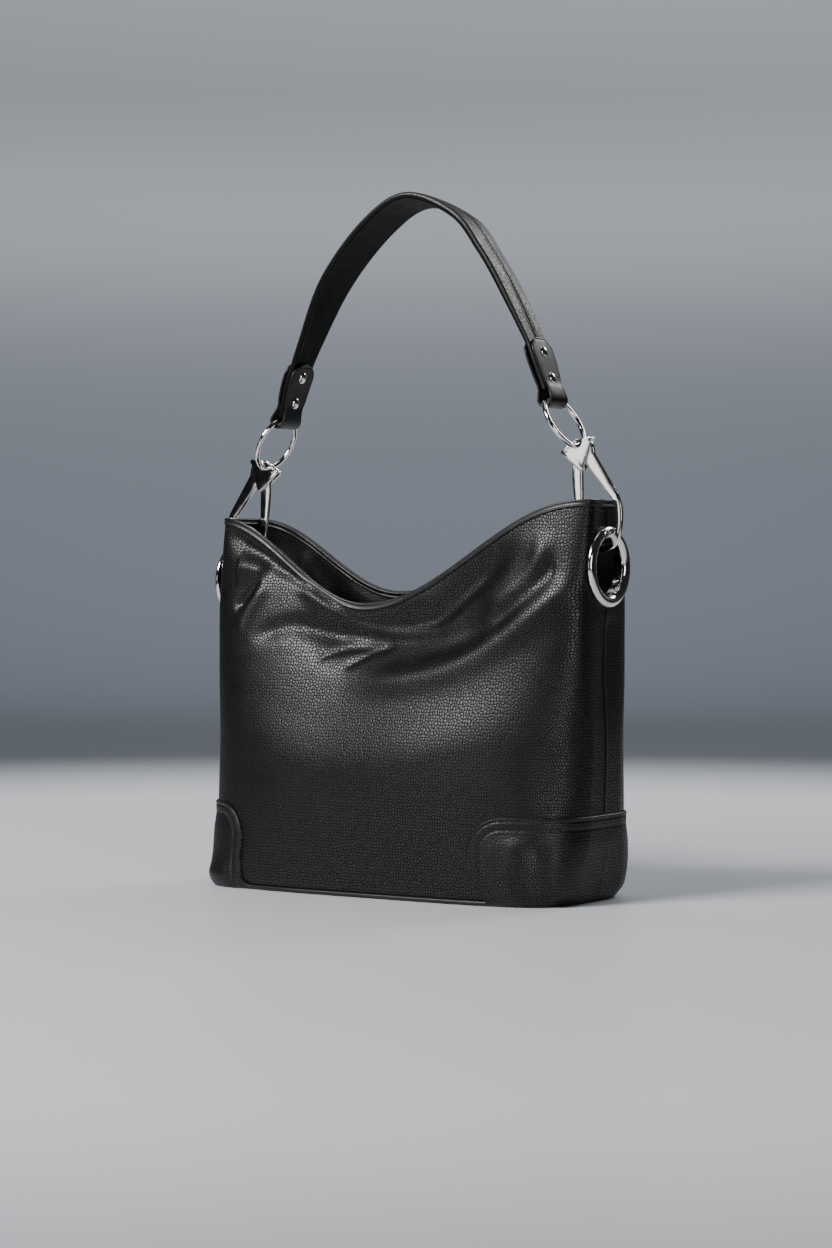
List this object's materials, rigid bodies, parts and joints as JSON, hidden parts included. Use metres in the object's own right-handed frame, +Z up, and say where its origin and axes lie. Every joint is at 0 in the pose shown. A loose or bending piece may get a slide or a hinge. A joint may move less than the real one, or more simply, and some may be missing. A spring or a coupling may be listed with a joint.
{
  "type": "shoulder bag",
  "caption": "Slouchy black pebbled-leather shoulder bag with scooped mouth, side eyelets, spring hooks, rings and a curved riveted strap.",
  "frame": {"origin": "centre of the bounding box at the floor, under the middle of the base", "axes": "+X to the bag's right as its front is seen, -Y out of the front panel, +Z up"},
  "size_m": [0.3746, 0.1534, 0.5508],
  "materials": {
    "pebbled_leather": "pebbled, soft sheen",
    "smooth_leather": "smooth, satin",
    "lining_cloth": "matte twill",
    "board": "matte",
    "nickel": "polished nickel plate"
  },
  "bodies": {
    "bag_body": {"back_facing": "pebbled_leather", "back_panel": "pebbled_leather", "base_board": "board", "base_piping": "smooth_leather", "bottom_panel": "pebbled_leather", "corner_patch_back_left": "pebbled_leather", "corner_patch_back_right": "pebbled_leather", "corner_patch_front_left": "pebbled_leather", "corner_patch_front_right": "pebbled_leather", "front_facing": "pebbled_leather", "front_panel": "pebbled_leather", "left_eyelet": "nickel", "left_eyelet_washer": "nickel", "lining": "lining_cloth", "right_eyelet": "nickel", "right_eyelet_washer": "nickel", "rim_binding": "smooth_leather", "slip_pocket": "lining_cloth", "snap_socket": "nickel", "snap_stud": "nickel", "zip_chain": "nickel", "zip_tape": "lining_cloth"},
    "zip_slider": {"zip_slider": "nickel"},
    "zip_pull": {"zip_pull": "nickel"},
    "strap": {"strap_outer": "pebbled_leather", "strap_lining": "smooth_leather", "left_tab": "pebbled_leather", "right_tab": "pebbled_leather", "left_lower_rivet": "nickel", "left_upper_rivet": "nickel", "right_lower_rivet": "nickel", "right_upper_rivet": "nickel"},
    "right_hook": {"right_hook_frame": "nickel", "right_hook_front_plate": "nickel", "right_hook_back_plate": "nickel", "right_gate_pin": "nickel"},
    "right_gate": {"right_hook_gate": "nickel"},
    "right_ring": {"right_ring": "nickel"},
    "left_hook": {"left_hook_frame": "nickel", "left_hook_front_plate": "nickel", "left_hook_back_plate": "nickel", "left_gate_pin": "nickel"},
    "left_gate": {"left_hook_gate": "nickel"},
    "left_ring": {"left_ring": "nickel"}
  },
  "joints": [
    {"name": "hook_swing", "type": "hinge", "parent": "bag_body", "child": "right_hook", "pos_m": [0.165, 0, 0.2715], "axis": [0.9994, 0, 0.0333], "range_deg": [-28, 28]},
    {"name": "left_hook_swing", "type": "hinge", "parent": "bag_body", "child": "left_hook", "pos_m": [-0.165, 0, 0.2605], "axis": [0.9994, 0, 0.0333], "range_deg": [-28, 28]},
    {"name": "strap_swing", "type": "hinge", "parent": "right_hook", "child": "strap", "pos_m": [0.1476, 0, 0.35], "axis": [0.9993, 0, 0.0372], "range_deg": [-35, 35]},
    {"name": "right_ring_spin", "type": "hinge", "parent": "strap", "child": "right_ring", "pos_m": [0.13601, 0, 0.36929], "axis": [0.8572, 0, 0.515], "continuous": true},
    {"name": "left_ring_spin", "type": "hinge", "parent": "strap", "child": "left_ring", "pos_m": [-0.13739, 0, 0.35905], "axis": [0.891, 0, -0.454], "continuous": true},
    {"name": "right_gate_hinge", "type": "hinge", "parent": "right_hook", "child": "right_gate", "pos_m": [0.148, 0, 0.34], "axis": [0, -1, 0], "range_deg": [0, 10], "stiffness_Nm_per_rad": 0.05, "springref_deg": -17.19},
    {"name": "left_gate_hinge", "type": "hinge", "parent": "left_hook", "child": "left_gate", "pos_m": [-0.148, 0, 0.329], "axis": [0, 1, 0], "range_deg": [0, 10], "stiffness_Nm_per_rad": 0.05, "springref_deg": -17.19},
    {"name": "zip_slide", "type": "slide", "parent": "bag_body", "child": "zip_slider", "axis": [1, 0, 0], "range_m": [0, 0.108]},
    {"name": "zip_pull_hinge", "type": "hinge", "parent": "zip_slider", "child": "zip_pull", "pos_m": [-0.054, 0.051, 0.14156], "axis": [-1, 0, 0], "range_deg": [0, 80]}
  ],
  "couplings": [
    {"joint": "left_hook_swing", "follows": "hook_swing", "ratio": 1}
  ]
}
